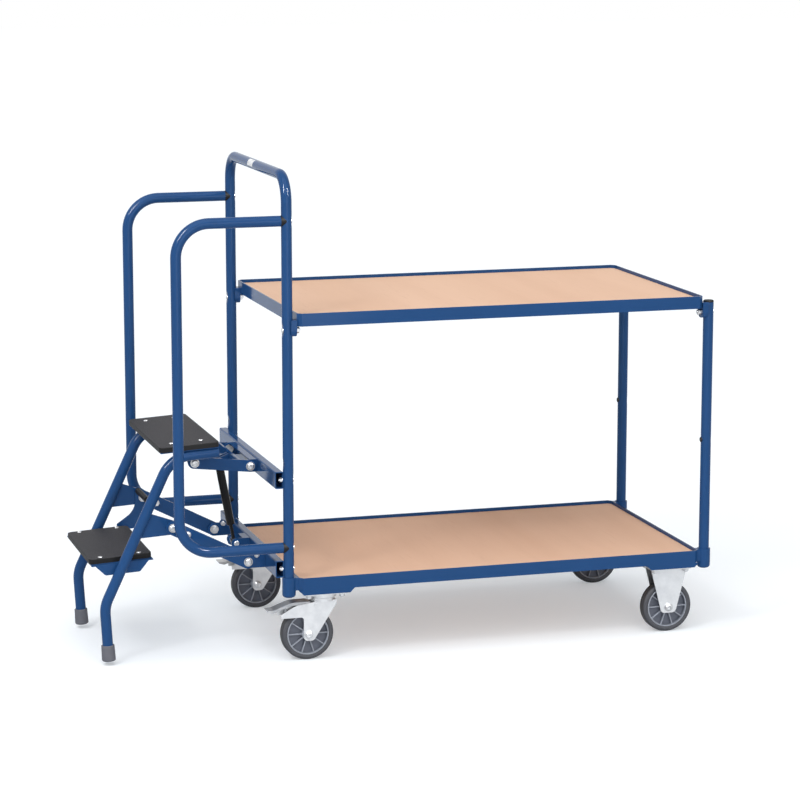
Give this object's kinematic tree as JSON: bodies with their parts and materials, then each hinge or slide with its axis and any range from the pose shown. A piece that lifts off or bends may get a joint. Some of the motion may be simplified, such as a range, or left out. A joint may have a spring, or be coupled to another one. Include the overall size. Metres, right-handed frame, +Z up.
{
  "type": "order picking trolley",
  "caption": "Tube-framed order picking trolley with railed shelves, a push hoop, handrails and a sprung step unit that lowers on a linkage under load.",
  "frame": {"origin": "on the floor, under the middle of the overall box", "axes": "+X along the trolley away from the steps, +Y across it, +Z up"},
  "size_m": [1.5009, 0.6, 1.1525],
  "materials": {
    "blue_powder_coat": "gloss powder coat",
    "beech_board": "sealed beech decor",
    "black_step_board": "fine anti-slip grain",
    "zinc": "bright zinc plate",
    "pedal_steel": "pressed steel",
    "black_plastic": "moulded",
    "tyre_grey": "matt",
    "wheel_grey": "moulded",
    "foot_rubber": "matt",
    "spring_black": "satin"
  },
  "bodies": {
    "frame": {"lower_shelf_frame": "blue_powder_coat", "lower_shelf_board": "beech_board", "upper_shelf_frame": "blue_powder_coat", "upper_shelf_board": "beech_board", "push_hoop": "blue_powder_coat", "rear_posts": "blue_powder_coat", "corner_sockets": "blue_powder_coat", "shelf_saddles": "blue_powder_coat", "shelf_bolts": "zinc", "post_plugs": "black_plastic", "handrail_near": "blue_powder_coat", "handrail_far": "blue_powder_coat", "handrail_saddles": "black_plastic", "handrail_bolts": "zinc", "upper_crossbar": "blue_powder_coat", "lower_crossbar": "blue_powder_coat", "crossbar_bolts": "zinc", "upper_bracket": "blue_powder_coat", "lower_brackets": "blue_powder_coat", "spring_clevis": "blue_powder_coat", "bracket_bolts": "zinc", "spring_foot_pin": "zinc", "caster_bolts": "zinc", "swivel_heads": "zinc", "fixed_axles": "zinc", "fixed_fork_near": "zinc", "fixed_fork_far": "zinc"},
    "upper_link": {"upper_link": "blue_powder_coat", "spring_top_pin": "zinc"},
    "lower_links": {"lower_links": "blue_powder_coat", "link_bolts": "zinc"},
    "step_unit": {"ladder_leg_near": "blue_powder_coat", "ladder_leg_far": "blue_powder_coat", "ladder_feet": "foot_rubber", "upper_step_board": "black_step_board", "lower_step_board": "black_step_board", "step_screws": "zinc", "upper_step_tray": "blue_powder_coat", "lower_step_tray": "blue_powder_coat", "ladder_gussets": "blue_powder_coat", "knee_plate": "blue_powder_coat", "buffer_bar": "black_plastic", "step_pivot_bolts": "zinc"},
    "spring_rod": {"gas_spring_rod": "spring_black"},
    "spring_cylinder": {"gas_spring_cylinder": "spring_black"},
    "swivel_near": {"swivel_fork_near": "zinc", "swivel_pins_near": "zinc"},
    "pedal_near": {"brake_pedal_near": "pedal_steel"},
    "swivel_wheel_near": {"swivel_tyre_near": "tyre_grey", "swivel_wheel_near": "wheel_grey"},
    "fixed_wheel_near": {"fixed_tyre_near": "tyre_grey", "fixed_wheel_near": "wheel_grey"},
    "swivel_far": {"swivel_fork_far": "zinc", "swivel_pins_far": "zinc"},
    "pedal_far": {"brake_pedal_far": "pedal_steel"},
    "swivel_wheel_far": {"swivel_tyre_far": "tyre_grey", "swivel_wheel_far": "wheel_grey"},
    "fixed_wheel_far": {"fixed_tyre_far": "tyre_grey", "fixed_wheel_far": "wheel_grey"}
  },
  "joints": [
    {"name": "step_lift", "type": "hinge", "parent": "frame", "child": "upper_link", "pos_m": [-0.35555, 0, 0.44], "axis": [0, -1, 0], "range_deg": [0, 9.5], "stiffness_Nm_per_rad": 26, "springref_deg": -28.65},
    {"name": "lower_link_swing", "type": "hinge", "parent": "frame", "child": "lower_links", "pos_m": [-0.37955, 0, 0.2253], "axis": [0, -1, 0], "range_deg": [0, 5.72]},
    {"name": "step_level", "type": "hinge", "parent": "upper_link", "child": "step_unit", "pos_m": [-0.48968, 0, 0.45528], "axis": [0, -1, 0], "range_deg": [-12.76, 0]},
    {"name": "spring_swing", "type": "hinge", "parent": "frame", "child": "spring_rod", "pos_m": [-0.37055, 0, 0.234], "axis": [0, -1, 0], "range_deg": [-0.1312, 0]},
    {"name": "spring_stroke", "type": "slide", "parent": "spring_rod", "child": "spring_cylinder", "axis": [0.179, 0, -0.9839], "range_m": [0, 0.00857]},
    {"name": "swivel_near", "type": "hinge", "parent": "frame", "child": "swivel_near", "pos_m": [-0.21855, -0.2526, 0.14], "axis": [0, 0, 1], "continuous": true},
    {"name": "pedal_near", "type": "hinge", "parent": "swivel_near", "child": "pedal_near", "pos_m": [-0.23755, -0.2526, 0.132], "axis": [0, -1, 0], "range_deg": [0, 10], "stiffness_Nm_per_rad": 1.5, "springref_deg": -22.92},
    {"name": "swivel_wheel_near", "type": "hinge", "parent": "swivel_near", "child": "swivel_wheel_near", "pos_m": [-0.25655, -0.2526, 0.0625], "axis": [0, 1, 0], "continuous": true},
    {"name": "fixed_wheel_near", "type": "hinge", "parent": "frame", "child": "fixed_wheel_near", "pos_m": [0.64745, -0.2526, 0.0625], "axis": [0, 1, 0], "continuous": true},
    {"name": "swivel_far", "type": "hinge", "parent": "frame", "child": "swivel_far", "pos_m": [-0.21855, 0.2526, 0.14], "axis": [0, 0, 1], "continuous": true},
    {"name": "pedal_far", "type": "hinge", "parent": "swivel_far", "child": "pedal_far", "pos_m": [-0.23755, 0.2526, 0.132], "axis": [0, -1, 0], "range_deg": [0, 10], "stiffness_Nm_per_rad": 1.5, "springref_deg": -22.92},
    {"name": "swivel_wheel_far", "type": "hinge", "parent": "swivel_far", "child": "swivel_wheel_far", "pos_m": [-0.25655, 0.2526, 0.0625], "axis": [0, 1, 0], "continuous": true},
    {"name": "fixed_wheel_far", "type": "hinge", "parent": "frame", "child": "fixed_wheel_far", "pos_m": [0.64745, 0.2526, 0.0625], "axis": [0, 1, 0], "continuous": true}
  ],
  "couplings": [
    {"joint": "lower_link_swing", "follows": "step_lift", "ratio": 0.60001},
    {"joint": "step_level", "follows": "step_lift", "ratio": -1.3412},
    {"joint": "spring_swing", "follows": "step_lift", "ratio": -0.011706},
    {"joint": "spring_stroke", "follows": "step_lift", "m_per_rad": 0.051551}
  ]
}
